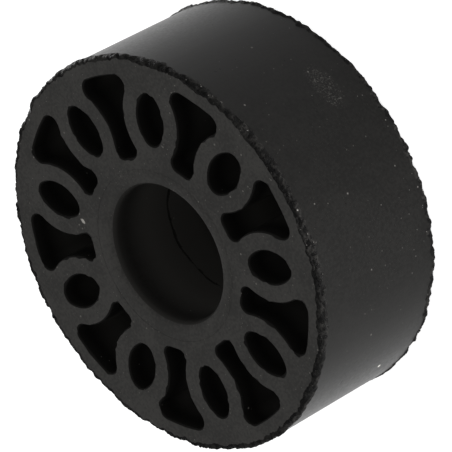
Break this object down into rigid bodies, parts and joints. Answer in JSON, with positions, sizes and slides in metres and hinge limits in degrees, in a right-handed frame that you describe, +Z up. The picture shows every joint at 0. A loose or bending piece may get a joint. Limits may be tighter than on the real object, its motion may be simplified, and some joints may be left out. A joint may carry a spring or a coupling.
{
  "type": "perforated rubber vibration mount",
  "caption": "Short thick rubber ring with a plain bore dished at its mouths, and oval and keystone openings that pass right through between hub and rim.",
  "frame": {"origin": "middle of the lower end face, on the bore's axis", "axes": "+Z up the bore from the lower to the upper end face, +X through the middle of one oval opening"},
  "size_m": [0.06, 0.06, 0.0235],
  "materials": {
    "rubber": "moulded, satin on the outer wall, matt on the end faces"
  },
  "bodies": {
    "root": {"rubber_ring": "rubber"}
  },
  "joints": []
}
